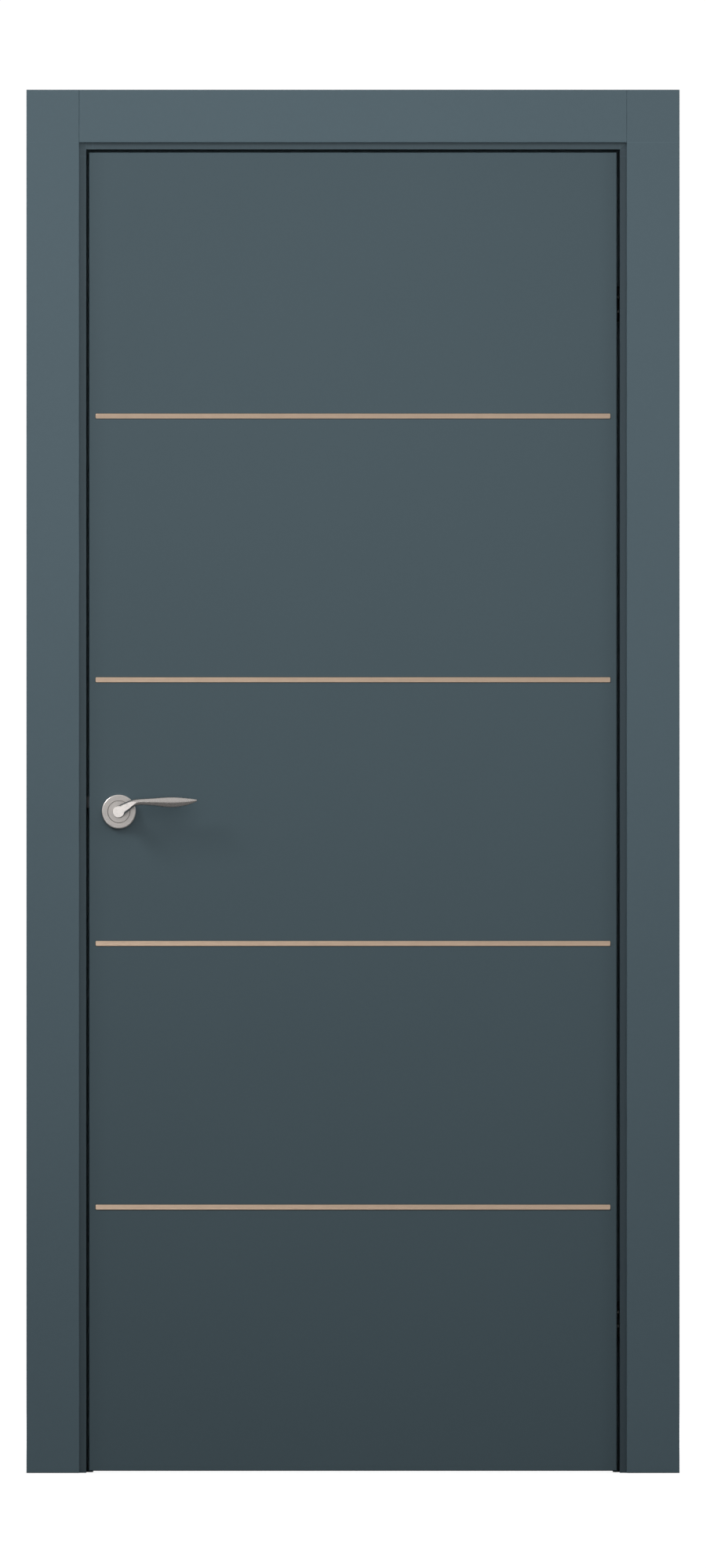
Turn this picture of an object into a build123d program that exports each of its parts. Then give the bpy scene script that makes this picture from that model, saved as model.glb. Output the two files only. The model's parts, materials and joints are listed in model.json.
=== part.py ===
import os
from math import atan2, cos, degrees, hypot, radians, sin

from build123d import *

os.makedirs("parts", exist_ok=True)

# An interior door in its frame, closed, with the floor at z = 0 and the doorway's middle at x = 0.
# X runs towards the hinges, Y from the front of the wall to its back, Z up. The leaf's front face,
# the front edges of the jambs and the wall's front surface all lie at y = 0.

# Door leaf
leaf_width = 800
leaf_height = 2000
leaf_thickness = 44
floor_gap = 3
edge_gap = 4.5
skin_thickness = 6
skin_edge_radius = 1.5
lock_stile_width = 90
hinge_stile_width = 45
rail_height = 60
tube_radius = 11
tube_pitch = 42

# Jambs, with the rebate that the leaf closes into
wall_thickness = 100
jamb_thickness = 32
jamb_arris = 1
stop_height = 10
stop_clearance = 3
corner_screw_length = 50
corner_screw_inset = 25
fixing_hole_radius = 3.25
fixing_countersink_radius = 6.5
fixing_insets = (100, 700)

# Rubber seal in the stop
seal_groove_width = 3
seal_groove_depth = 7
seal_inset = 5
seal_width = 6
seal_wall = 0.8
seal_stem_width = 1.8
seal_barb_width = 2.8
seal_barb_thickness = 0.8
seal_barb_spacing = 2

# Casings, with a tongue that slides into the edge of the jamb
casing_width = 80
casing_thickness = 10
casing_edge_radius = 1.2
reveal = 10.5
tongue_inset = 24
tongue_thickness = 4
tongue_length = 12
tongue_play = 0.2

# Metal mouldings let into both faces of the leaf
moulding_count = 4
moulding_inset = 9.75
moulding_width = 7.8
moulding_projection = 1.3
moulding_corner_radius = 1.6
moulding_edge_radius = 0.5
moulding_rim = 1.7
moulding_channel_depth = 0.45
moulding_bed_depth = 1.8
moulding_shadow_line = 0.6
moulding_stem_width = 3
moulding_stem_depth = 4.6

# Fits
play = 0.3
pin_play = 0.2
recess_play = 0.2

# Concealed hinges, seen from above, with the leaf's turning axis in the middle of the edge gap
# at y = 0. Each arm runs from its pivot to the cross pin and on to a trunnion that slides in the
# opposite cup. Pivots, cross pin and turning axis are the corners of a rhombus.
hinge_inset = 230
opening_angle = 100
pivot_offset = 7
pivot_depth = 16
tip_reach = 18
tip_rise = 4
arm_width = 8
finger_width = 6
pivot_pin_radius = 1.75
cross_pin_radius = 1.75
trunnion_radius = 1.5
leaf_arm_height = 18
web_thickness = 3
frame_arm_height = 14
trunnion_length = 6
cup_wall = 1.7
cup_length = 74
cup_corner_radius = 3
pin_seat_length = 8
flange_thickness = 3
flange_length = 116
flange_screw_pitch = 96
flange_screw_radius = 2.25
flange_screw_head_radius = 4.5
flange_screw_length = 24

# Latch
handle_height = 1000
backset = 45
case_thickness = 16
case_depth = 66
case_above = 28
case_below = 16
case_wall = 1.2
faceplate_thickness = 3
faceplate_width = 22
faceplate_length = 96
faceplate_screw_pitch = 78
latch_screw_radius = 1.75
latch_screw_head_radius = 3.5
latch_screw_length = 18
bolt_throw = 11
bolt_thickness = 12
bolt_height = 18
bolt_nose = 1.5
bolt_body_length = 26
tail_thickness = 4
tail_height = 6
lug_length = 4
lug_clearance = 1
cam_radius = 14
cam_tip_radius = 2.5
follower_radius = 8
follower_journal_radius = 7
spring_radius = 3.2
spring_wire_radius = 0.5
spring_pitch = 1.5
spring_turns = 4
spring_seat_thickness = 1.5
spring_room = 7.5

# Strike in the lock jamb
strike_thickness = 2
strike_width = 24
strike_length = 74
strike_corner_radius = 4
strike_screw_pitch = 56
strike_play = 1
strike_box_depth = 14
strike_box_wall = 1.5
strike_box_side_room = 2

# Lever handles on round roses
rose_radius = 26
rose_height = 9
rose_wall = 1.2
rose_rim_radius = 1.8
rose_groove_radius = 16.8
rose_groove_width = 0.6
rose_groove_depth = 0.4
rose_bolt_radius = 2
rose_bolt_head_radius = 3.6
rose_bolt_head_height = 2.5
rose_bolt_pitch = 38
rose_bolt_cover = 1
spindle_side = 8
spindle_play = 0.15
spindle_overlap = 30
neck_radius = 8.6
neck_bearing = 6
grub_radius = 2.5
grub_length = 3.5
grub_distance = 24
grub_socket_sides = 6
facet_distance = 53.6
facet_slope = 0.1
facet_heading = 30

# Lever cut across at stations along it: reach, rise and distance from the leaf of the middle of
# the cut, the heading of the lever above level, and half the height and half the depth of the cut.
lever_stations = (
    (0, 0, 48.5, 38, 8.6, 6.8),
    (13, 8, 50, 36, 6.7, 6.4),
    (27, 14.3, 50.5, 14, 5.2, 5.8),
    (52, 14.9, 50.5, 0, 6.2, 5.2),
    (80, 14.4, 49.5, 0, 8.2, 4.8),
    (103, 15.2, 48, 3, 5.9, 4),
    (118.6, 17.2, 46.8, 8, 0.9, 1),
)

# Places worked out from the sizes
leaf_middle = leaf_thickness / 2
leaf_bottom = floor_gap
leaf_top = leaf_bottom + leaf_height
lock_edge = -leaf_width / 2
hinge_edge = leaf_width / 2
rebate_x = hinge_edge + edge_gap
rebate_z = leaf_top + edge_gap
stop_front = leaf_thickness + stop_clearance
seal_height = stop_clearance - play
middle_plane = Plane.XZ.offset(-leaf_middle)
base = (Align.CENTER, Align.CENTER, Align.MIN)

# Planes across the frame's members, local x pointing away from the doorway and local y into the
# wall. An amount along the member is positive upwards or, on the head, towards the hinges.
hinge_member = Plane(origin=(0, 0, 0), x_dir=(1, 0, 0), z_dir=(0, 0, 1))
lock_member = Plane(origin=(0, 0, 0), x_dir=(-1, 0, 0), z_dir=(0, 0, -1))
head_member = Plane(origin=(0, 0, 0), x_dir=(0, 0, 1), z_dir=(-1, 0, 0))
hinge_mitre = Plane(origin=(rebate_x, 0, rebate_z), z_dir=(-1, 0, 1))
lock_mitre = Plane(origin=(-rebate_x, 0, rebate_z), z_dir=(1, 0, 1))


def keep(piece, name):
    """Names a finished piece and writes it."""
    piece.part.label = name
    export_step(piece.part, f"parts/{name}.step")


def screws(seats, head_radius, shank_radius, length):
    """Countersunk screws, each starting at the face of its head in a plane that points along it."""
    with BuildPart() as group:
        with Locations(*seats):
            Cone(head_radius, shank_radius, head_radius - shank_radius, align=base)
            Cylinder(shank_radius, length, align=base)
    return group.part


# Jambs and head of the frame
def jamb_section(plane, rebate):
    """A jamb cut across: rebate, stop, groove for the seal and a groove for each casing."""
    with BuildSketch(plane) as section:
        with BuildLine():
            FilletPolyline(
                (rebate, 0),
                (rebate + jamb_thickness, 0),
                (rebate + jamb_thickness, wall_thickness),
                (rebate - stop_height, wall_thickness),
                (rebate - stop_height, stop_front),
                (rebate, stop_front),
                radius=jamb_arris,
                close=True,
            )
        make_face()
        with Locations((rebate - seal_inset, stop_front)):
            Rectangle(
                seal_groove_width,
                seal_groove_depth,
                align=(Align.CENTER, Align.MIN),
                mode=Mode.SUBTRACT,
            )
        for face, end in ((0, Align.MIN), (wall_thickness, Align.MAX)):
            with Locations((rebate + tongue_inset - tongue_play, face)):
                Rectangle(
                    tongue_thickness + 2 * tongue_play,
                    tongue_length + tongue_play,
                    align=(Align.MIN, end),
                    mode=Mode.SUBTRACT,
                )
    return section.sketch


def fixing_seats(side):
    """Where the wall screws go in, on the rebate of a jamb; side is 1 at the hinges, -1 at the lock."""
    heights = [
        height for inset in fixing_insets for height in (leaf_bottom + inset, leaf_top - inset)
    ]
    return [
        Plane(origin=(side * rebate_x, leaf_middle, height), z_dir=(side, 0, 0))
        for height in heights
    ]


def jamb_blank(side, member, mitre):
    """A side jamb with its mitred top and its holes for the wall screws."""
    with BuildPart() as blank:
        extrude(jamb_section(member, rebate_x), amount=side * (rebate_z + jamb_thickness))
        split(bisect_by=mitre, keep=Keep.BOTTOM)
        holes = screws(
            fixing_seats(side), fixing_countersink_radius, fixing_hole_radius, jamb_thickness + play
        )
        add(holes, mode=Mode.SUBTRACT)
    return blank.part


corner_seats = [
    Plane(
        origin=(side * (rebate_x + jamb_thickness), depth, rebate_z + jamb_thickness / 2),
        z_dir=(-side, 0, 0),
    )
    for side in (-1, 1)
    for depth in (corner_screw_inset, wall_thickness - corner_screw_inset)
]
corner_screws = screws(
    corner_seats, latch_screw_head_radius, latch_screw_radius, corner_screw_length
)

with BuildPart() as frame_corner_screws:
    add(corner_screws)
keep(frame_corner_screws, "frame_corner_screws")

with BuildPart() as head_jamb:
    extrude(jamb_section(head_member, rebate_z), amount=rebate_x + jamb_thickness, both=True)
    split(bisect_by=hinge_mitre, keep=Keep.TOP)
    split(bisect_by=lock_mitre, keep=Keep.TOP)
    add(corner_screws, mode=Mode.SUBTRACT)
keep(head_jamb, "head_jamb")


# Seals in the stops
def seal_section(plane, rebate):
    """The seal cut across: a hollow bulb on a barbed stem."""
    middle = rebate - seal_inset
    with BuildSketch(plane) as section:
        for half, rise, mode in (
            (seal_width / 2, seal_height, Mode.ADD),
            (seal_width / 2 - seal_wall, seal_height - seal_wall, Mode.SUBTRACT),
        ):
            with BuildLine():
                Line((middle + half, stop_front), (middle - half, stop_front))
                ThreePointArc(
                    (middle - half, stop_front),
                    (middle, stop_front - rise),
                    (middle + half, stop_front),
                )
            make_face(mode=mode)
        with Locations((middle, stop_front)):
            Rectangle(seal_width, seal_wall, align=(Align.CENTER, Align.MAX))
            Rectangle(
                seal_stem_width, seal_groove_depth - seal_wall, align=(Align.CENTER, Align.MIN)
            )
        with Locations(
            (middle, stop_front + seal_barb_spacing), (middle, stop_front + 2 * seal_barb_spacing)
        ):
            Rectangle(seal_barb_width, seal_barb_thickness)
    return section.sketch


with BuildPart() as hinge_jamb_seal:
    extrude(seal_section(hinge_member, rebate_x), amount=rebate_z)
    split(bisect_by=hinge_mitre, keep=Keep.BOTTOM)
keep(hinge_jamb_seal, "hinge_jamb_seal")

with BuildPart() as lock_jamb_seal:
    extrude(seal_section(lock_member, rebate_x), amount=-rebate_z)
    split(bisect_by=lock_mitre, keep=Keep.BOTTOM)
keep(lock_jamb_seal, "lock_jamb_seal")

with BuildPart() as head_jamb_seal:
    extrude(seal_section(head_member, rebate_z), amount=rebate_x, both=True)
    split(bisect_by=hinge_mitre, keep=Keep.TOP)
    split(bisect_by=lock_mitre, keep=Keep.TOP)
keep(head_jamb_seal, "head_jamb_seal")


# Casings: the side boards run the full height and the head board butts between them
def casing_sections(plane, rebate, outward):
    """Board and tongue of a casing cut across; outward is -1 at the front and 1 at the back."""
    face = 0 if outward < 0 else wall_thickness
    away, inwards = (Align.MAX, Align.MIN) if outward < 0 else (Align.MIN, Align.MAX)
    with BuildSketch(plane) as board:
        with Locations((rebate + reveal, face)):
            Rectangle(casing_width, casing_thickness, align=(Align.MIN, away))
    with BuildSketch(plane) as tongue:
        with Locations((rebate + tongue_inset, face)):
            Rectangle(tongue_thickness, tongue_length, align=(Align.MIN, inwards))
    return board.sketch, tongue.sketch


def round_show_face(outward):
    """Rounds the edges of the face that is seen, on the casing being built."""
    show_face = faces().sort_by(Axis.Y)[0 if outward < 0 else -1]
    fillet(show_face.edges(), radius=casing_edge_radius)


casing_top = rebate_z + reveal + casing_width
for wall_side, outward in (("front", -1), ("back", 1)):
    for hand, member, up in (("right", hinge_member, 1), ("left", lock_member, -1)):
        board, tongue = casing_sections(member, rebate_x, outward)
        with BuildPart() as side_casing:
            extrude(board, amount=up * casing_top)
            round_show_face(outward)
            extrude(tongue, amount=up * rebate_z)
        keep(side_casing, f"{wall_side}_casing_{hand}")

    board, tongue = casing_sections(head_member, rebate_z, outward)
    with BuildPart() as head_casing:
        extrude(board, amount=rebate_x + reveal, both=True)
        round_show_face(outward)
        extrude(tongue, amount=rebate_x, both=True)
    keep(head_casing, f"{wall_side}_casing_head")


# Concealed hinges
hinge_x = hinge_edge + edge_gap / 2
hinge_heights = {"lower": leaf_bottom + hinge_inset, "upper": leaf_top - hinge_inset}
pivot = (pivot_offset, pivot_depth)
elbow = (0, 2 * pivot_depth)
tip = (-tip_reach, elbow[1] + tip_rise)
link_length = hypot(pivot_offset, pivot_depth)
slot_centre = (pivot_offset + tip_reach, tip[1] - pivot_depth)
slot_start = degrees(atan2(pivot_depth, -pivot_offset))
trunnion_path = CenterArc(slot_centre, link_length, slot_start, opening_angle)
pocket_width = 2 * (tip[1] + finger_width / 2 + play - leaf_middle)
pocket_bottom = tip_reach + finger_width / 2 + play
cup_width = pocket_width + 2 * cup_wall
cup_depth = pocket_bottom + cup_wall - edge_gap / 2
web_start = leaf_arm_height / 2 + play
plate_start = web_start + web_thickness + play
plate_end = plate_start + frame_arm_height
leaf_pin_half = web_start + web_thickness


def hinge_level(side, height):
    """Plane across a hinge at its middle, local x pointing into the jamb or into the leaf."""
    return Plane(origin=(hinge_x, 0, height), x_dir=(side, 0, 0), z_dir=(0, 0, side))


def hinge_seat(side, height):
    """Plane on the edge that a cup is let into, pointing into the wood."""
    origin = (hinge_x + side * edge_gap / 2, leaf_middle, height)
    return Plane(origin=origin, x_dir=(0, 1, 0), z_dir=(side, 0, 0))


def cup_blank(side, height, room):
    """Outside of a hinge cup and its flange, or the recess for it when room is more than 0."""
    with BuildPart() as blank:
        with BuildSketch(hinge_seat(side, height)):
            SlotOverall(flange_length + 2 * room, cup_width + 2 * room, rotation=90)
        extrude(amount=flange_thickness + room)
        with BuildSketch(hinge_seat(side, height)):
            RectangleRounded(cup_width + 2 * room, cup_length + 2 * room, cup_corner_radius)
        extrude(amount=cup_depth + room)
    return blank.part


def flange_screw_seats(side):
    """Where the flange screws of both hinges start, in the jamb or in the leaf."""
    return [
        hinge_seat(side, height + up * flange_screw_pitch / 2)
        for height in hinge_heights.values()
        for up in (-1, 1)
    ]


def flange_screws(side, room):
    """The flange screws, or the holes for them when room is more than 0."""
    return screws(
        flange_screw_seats(side),
        flange_screw_head_radius + room,
        flange_screw_radius + room,
        flange_screw_length + room,
    )


def hinge_recesses(side):
    """All that is cut out of the wood for the two hinges on one side."""
    with BuildPart() as recesses:
        for height in hinge_heights.values():
            add(cup_blank(side, height, recess_play))
        add(flange_screws(side, 0))
    return recesses.part


def pocket_outline():
    """Open room of a cup, from its mouth to its floor, in the sketch being drawn."""
    with Locations((edge_gap / 2, leaf_middle)):
        Rectangle(pocket_bottom - edge_gap / 2, pocket_width, align=(Align.MIN, Align.CENTER))


def guide(slotted, mode):
    """Slot for the other arm's trunnion or bore for this cup's pivot pin, in the sketch."""
    if slotted:
        SlotArc(trunnion_path, 2 * (trunnion_radius + pin_play), mode=mode)
    else:
        with Locations(pivot):
            Circle(pivot_pin_radius, mode=mode)


def hinge_cup(side, height, slotted_webs):
    """A cup with two webs across its room. Webs or cheeks are slotted, the others hold pins."""
    level = hinge_level(side, height)
    cheek_end = plate_end + play + (pin_seat_length if slotted_webs else trunnion_length)
    with BuildPart() as cup:
        add(cup_blank(side, height, 0))
        with BuildSketch(level):
            pocket_outline()
        extrude(amount=plate_end + play, both=True, mode=Mode.SUBTRACT)
        with BuildSketch(level):
            guide(not slotted_webs, Mode.ADD)
        extrude(amount=cheek_end, both=True, mode=Mode.SUBTRACT)
        for up in (-1, 1):
            with BuildSketch(level.offset(up * (web_start + web_thickness / 2))):
                pocket_outline()
                guide(slotted_webs, Mode.SUBTRACT)
            extrude(amount=web_thickness / 2, both=True)
        add(flange_screws(side, play), mode=Mode.SUBTRACT)
    return cup.part


def arm_section(plane, cross_bore_radius):
    """A hinge arm cut across: pivot eye, elbow eye on the cross pin and the finger to the tip."""
    with BuildSketch(plane) as section:
        for start, end, width in ((pivot, elbow, arm_width), (elbow, tip, finger_width)):
            run = (end[0] - start[0], end[1] - start[1])
            with Locations(((start[0] + end[0]) / 2, (start[1] + end[1]) / 2)):
                SlotCenterToCenter(hypot(*run), width, rotation=degrees(atan2(run[1], run[0])))
        with Locations(pivot):
            Circle(pivot_pin_radius + pin_play, mode=Mode.SUBTRACT)
        with Locations(elbow):
            Circle(cross_bore_radius, mode=Mode.SUBTRACT)
    return section.sketch


def upright_pin(level, centre, radius, start, end):
    """A pin from one height above the hinge's middle to another."""
    with BuildPart() as pin:
        with BuildSketch(level.offset(start)):
            with Locations(centre):
                Circle(radius)
        extrude(amount=end - start)
    return pin.part


for place, height in hinge_heights.items():
    frame_level = hinge_level(1, height)
    leaf_level = hinge_level(-1, height)

    with BuildPart() as frame_cup:
        add(hinge_cup(1, height, slotted_webs=True))
    keep(frame_cup, f"{place}_hinge_frame_cup")

    with BuildPart() as leaf_cup:
        add(hinge_cup(-1, height, slotted_webs=False))
    keep(leaf_cup, f"{place}_hinge_leaf_cup")

    with BuildPart() as frame_arm:
        for up in (-1, 1):
            lower_face = plate_start if up > 0 else -plate_end
            plate = arm_section(frame_level.offset(lower_face), cross_pin_radius)
            extrude(plate, amount=frame_arm_height)
            pin_start = plate_end if up > 0 else -plate_end - trunnion_length
            pin_end = pin_start + trunnion_length
            add(upright_pin(frame_level, tip, trunnion_radius, pin_start, pin_end))
    keep(frame_arm, f"{place}_hinge_frame_arm")

    with BuildPart() as leaf_arm:
        plate = arm_section(leaf_level, cross_pin_radius + pin_play)
        extrude(plate, amount=leaf_arm_height / 2, both=True)
        add(upright_pin(leaf_level, tip, trunnion_radius, -leaf_pin_half, leaf_pin_half))
    keep(leaf_arm, f"{place}_hinge_leaf_arm")

    with BuildPart() as cross_pin:
        add(upright_pin(frame_level, elbow, cross_pin_radius, -plate_end, plate_end))
    keep(cross_pin, f"{place}_hinge_cross_pin")

with BuildPart() as hinge_frame_pins:
    for height in hinge_heights.values():
        for start in (plate_start + play, -plate_end - play - pin_seat_length):
            end = start + frame_arm_height + pin_seat_length
            add(upright_pin(hinge_level(1, height), pivot, pivot_pin_radius, start, end))
keep(hinge_frame_pins, "hinge_frame_pins")

with BuildPart() as hinge_leaf_pins:
    for height in hinge_heights.values():
        level = hinge_level(-1, height)
        add(upright_pin(level, pivot, pivot_pin_radius, -leaf_pin_half, leaf_pin_half))
keep(hinge_leaf_pins, "hinge_leaf_pins")

with BuildPart() as hinge_frame_screws:
    add(flange_screws(1, 0))
keep(hinge_frame_screws, "hinge_frame_screws")

with BuildPart() as hinge_leaf_screws:
    add(flange_screws(-1, 0))
keep(hinge_leaf_screws, "hinge_leaf_screws")

with BuildPart() as hinge_jamb:
    add(jamb_blank(1, hinge_member, hinge_mitre))
    add(hinge_recesses(1), mode=Mode.SUBTRACT)
    add(corner_screws, mode=Mode.SUBTRACT)
keep(hinge_jamb, "hinge_jamb")


# Latch, worked by a square spindle through its follower
spindle_x = lock_edge + backset
spindle_z = leaf_bottom + handle_height
case_front = lock_edge + faceplate_thickness
case_back = case_front + case_depth
case_middle = spindle_z + (case_above - case_below) / 2
bolt_middle = spindle_z + cam_radius
bolt_back = lock_edge - bolt_throw + bolt_body_length
tail_bottom = bolt_middle + bolt_height / 2 - tail_height
lug_front = spindle_x + cam_tip_radius + play
lug_bottom = spindle_z + follower_radius + lug_clearance
spring_seat_x = bolt_back + bolt_throw + spring_room
inner_thickness = case_thickness - 2 * case_wall


def block(x_from, x_to, y_thickness, z_from, z_to, mode=Mode.ADD):
    """A block centred in the leaf's thickness, in the part being built."""
    with Locations(((x_from + x_to) / 2, leaf_middle, (z_from + z_to) / 2)):
        Box(x_to - x_from, y_thickness, z_to - z_from, mode=mode)


def bore(x, z, radius, thickness, mode=Mode.SUBTRACT):
    """A round hole or boss through the leaf's thickness, in the part being built."""
    with Locations((x, leaf_middle, z)):
        Cylinder(radius, thickness, rotation=(90, 0, 0), mode=mode)


rose_bolt_places = [spindle_x - rose_bolt_pitch / 2, spindle_x + rose_bolt_pitch / 2]
faceplate_screw_seats = [
    Plane(
        origin=(lock_edge, leaf_middle, case_middle + up * faceplate_screw_pitch / 2),
        z_dir=(1, 0, 0),
    )
    for up in (-1, 1)
]
faceplate_screws = screws(
    faceplate_screw_seats, latch_screw_head_radius, latch_screw_radius, latch_screw_length
)

with BuildPart() as latch_case:
    block(case_front, case_back, case_thickness, spindle_z - case_below, spindle_z + case_above)
    block(
        case_front,
        case_back - case_wall,
        inner_thickness,
        spindle_z - case_below + case_wall,
        spindle_z + case_above - case_wall,
        mode=Mode.SUBTRACT,
    )
    bore(spindle_x, spindle_z, follower_journal_radius + pin_play, case_thickness)
    for place_x in rose_bolt_places:
        bore(place_x, spindle_z, rose_bolt_radius + play, case_thickness)
    block(
        spring_seat_x,
        spring_seat_x + spring_seat_thickness,
        inner_thickness,
        bolt_middle - bolt_height / 2,
        tail_bottom - play,
    )
keep(latch_case, "latch_case")

with BuildPart() as latch_faceplate:
    with BuildSketch(Plane.YZ.offset(lock_edge)):
        with Locations((leaf_middle, case_middle)):
            SlotOverall(faceplate_length, faceplate_width, rotation=90)
        with Locations((leaf_middle, bolt_middle)):
            Rectangle(bolt_thickness + 2 * play, bolt_height + 2 * play, mode=Mode.SUBTRACT)
    extrude(amount=faceplate_thickness)
    add(faceplate_screws, mode=Mode.SUBTRACT)
keep(latch_faceplate, "latch_faceplate")

with BuildPart() as latch_screws:
    add(faceplate_screws)
keep(latch_screws, "latch_screws")

bolt_front_face = leaf_middle - bolt_thickness / 2
bolt_tip = lock_edge - bolt_throw
with BuildPart() as latch_bolt:
    with BuildSketch(Plane.XY.offset(bolt_middle)):
        with BuildLine():
            Polyline(
                (bolt_tip, bolt_front_face),
                (bolt_tip, bolt_front_face + bolt_nose),
                (bolt_tip + bolt_throw, bolt_front_face + bolt_thickness),
                (bolt_back, bolt_front_face + bolt_thickness),
                (bolt_back, bolt_front_face),
                close=True,
            )
        make_face()
    extrude(amount=bolt_height / 2, both=True)
    block(
        bolt_back, lug_front + lug_length, tail_thickness, tail_bottom, tail_bottom + tail_height
    )
    block(lug_front, lug_front + lug_length, tail_thickness, lug_bottom, tail_bottom)
keep(latch_bolt, "latch_bolt")

with BuildPart() as latch_follower:
    bore(spindle_x, spindle_z, follower_radius, inner_thickness - 2 * play, mode=Mode.ADD)
    bore(spindle_x, spindle_z, follower_journal_radius, case_thickness, mode=Mode.ADD)
    with BuildSketch(middle_plane):
        with Locations((spindle_x, spindle_z + cam_radius / 2)):
            SlotCenterToCenter(cam_radius, 2 * cam_tip_radius, rotation=90)
    extrude(amount=tail_thickness / 2, both=True)
    square_bore = spindle_side + 2 * spindle_play
    block(
        spindle_x - square_bore / 2,
        spindle_x + square_bore / 2,
        case_thickness,
        spindle_z - square_bore / 2,
        spindle_z + square_bore / 2,
        mode=Mode.SUBTRACT,
    )
keep(latch_follower, "latch_follower")

spring_start = (spring_seat_x - spring_wire_radius, leaf_middle, bolt_middle - cam_tip_radius)
spring_length = spring_pitch * spring_turns
with BuildPart() as latch_spring:
    with BuildLine():
        coil = Helix(
            spring_pitch, spring_length, spring_radius, center=spring_start, direction=(-1, 0, 0)
        )
    with BuildSketch(Plane(origin=coil @ 0, z_dir=coil % 0)):
        Circle(spring_wire_radius)
    sweep(path=coil, is_frenet=True)
keep(latch_spring, "latch_spring")


# Strike plate and the box behind it
strike_seats = [
    Plane(
        origin=(-rebate_x, leaf_middle, bolt_middle + up * strike_screw_pitch / 2),
        z_dir=(-1, 0, 0),
    )
    for up in (-1, 1)
]
strike_screw_set = screws(
    strike_seats, latch_screw_head_radius, latch_screw_radius, latch_screw_length
)
strike_opening = (bolt_thickness + 2 * strike_play, bolt_height + 2 * strike_play)
strike_box_size = [side + 2 * (strike_box_side_room + strike_box_wall) for side in strike_opening]
strike_plane = Plane(
    origin=(-rebate_x, leaf_middle, bolt_middle), x_dir=(0, 1, 0), z_dir=(-1, 0, 0)
)

with BuildPart() as strike_plate:
    with BuildSketch(strike_plane):
        RectangleRounded(strike_width, strike_length, strike_corner_radius)
        Rectangle(*strike_opening, mode=Mode.SUBTRACT)
    extrude(amount=strike_thickness)
    add(strike_screw_set, mode=Mode.SUBTRACT)
keep(strike_plate, "strike_plate")

with BuildPart() as strike_box:
    with BuildSketch(strike_plane.offset(strike_thickness)):
        Rectangle(*strike_box_size)
    extrude(amount=strike_box_depth)
    with BuildSketch(strike_plane.offset(strike_thickness)):
        Rectangle(*[side - 2 * strike_box_wall for side in strike_box_size])
    extrude(amount=strike_box_depth - strike_box_wall, mode=Mode.SUBTRACT)
keep(strike_box, "strike_box")

with BuildPart() as strike_screws:
    add(strike_screw_set)
keep(strike_screws, "strike_screws")

with BuildPart() as lock_jamb:
    add(jamb_blank(-1, lock_member, lock_mitre))
    with BuildSketch(strike_plane):
        Rectangle(strike_width + 2 * recess_play, strike_length + 2 * recess_play)
    extrude(amount=strike_thickness, mode=Mode.SUBTRACT)
    with BuildSketch(strike_plane):
        Rectangle(*[side + 2 * recess_play for side in strike_box_size])
    extrude(amount=strike_thickness + strike_box_depth + recess_play, mode=Mode.SUBTRACT)
    add(strike_screw_set, mode=Mode.SUBTRACT)
    add(corner_screws, mode=Mode.SUBTRACT)
keep(lock_jamb, "lock_jamb")


# Rails and stiles of the leaf, and the tubular board between them
core_thickness = leaf_thickness - 2 * skin_thickness
infill_left = lock_edge + lock_stile_width
infill_right = hinge_edge - hinge_stile_width

with BuildPart() as lock_stile:
    block(lock_edge, infill_left, core_thickness, leaf_bottom, leaf_top)
    block(
        lock_edge,
        case_back + recess_play,
        case_thickness + 2 * recess_play,
        spindle_z - case_below - recess_play,
        spindle_z + case_above + recess_play,
        mode=Mode.SUBTRACT,
    )
    with BuildSketch(Plane.YZ.offset(lock_edge)):
        with Locations((leaf_middle, case_middle)):
            SlotOverall(
                faceplate_length + 2 * recess_play, faceplate_width + 2 * recess_play, rotation=90
            )
    extrude(amount=faceplate_thickness, mode=Mode.SUBTRACT)
    add(faceplate_screws, mode=Mode.SUBTRACT)
    bore(spindle_x, spindle_z, neck_radius + play, core_thickness)
    for place_x in rose_bolt_places:
        bore(place_x, spindle_z, rose_bolt_radius + play, core_thickness)
keep(lock_stile, "lock_stile")

with BuildPart() as hinge_stile:
    block(infill_right, hinge_edge, core_thickness, leaf_bottom, leaf_top)
    add(hinge_recesses(-1), mode=Mode.SUBTRACT)
keep(hinge_stile, "hinge_stile")

with BuildPart() as bottom_rail:
    block(infill_left, infill_right, core_thickness, leaf_bottom, leaf_bottom + rail_height)
keep(bottom_rail, "bottom_rail")

with BuildPart() as top_rail:
    block(infill_left, infill_right, core_thickness, leaf_top - rail_height, leaf_top)
keep(top_rail, "top_rail")

infill_width = infill_right - infill_left
tube_count = int(infill_width // tube_pitch)
with BuildPart() as leaf_infill:
    with BuildSketch(Plane.XY.offset(leaf_bottom + rail_height)):
        with Locations(((infill_left + infill_right) / 2, leaf_middle)):
            Rectangle(infill_width, core_thickness)
            with GridLocations(tube_pitch, core_thickness, tube_count, 1):
                Circle(tube_radius, mode=Mode.SUBTRACT)
    extrude(amount=leaf_height - 2 * rail_height)
keep(leaf_infill, "leaf_infill")


# Skins of the leaf, with a bed for each moulding
moulding_heights = [
    leaf_bottom + leaf_height * (place + 1) / (moulding_count + 1) for place in range(moulding_count)
]
moulding_length = leaf_width - 2 * moulding_inset

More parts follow.
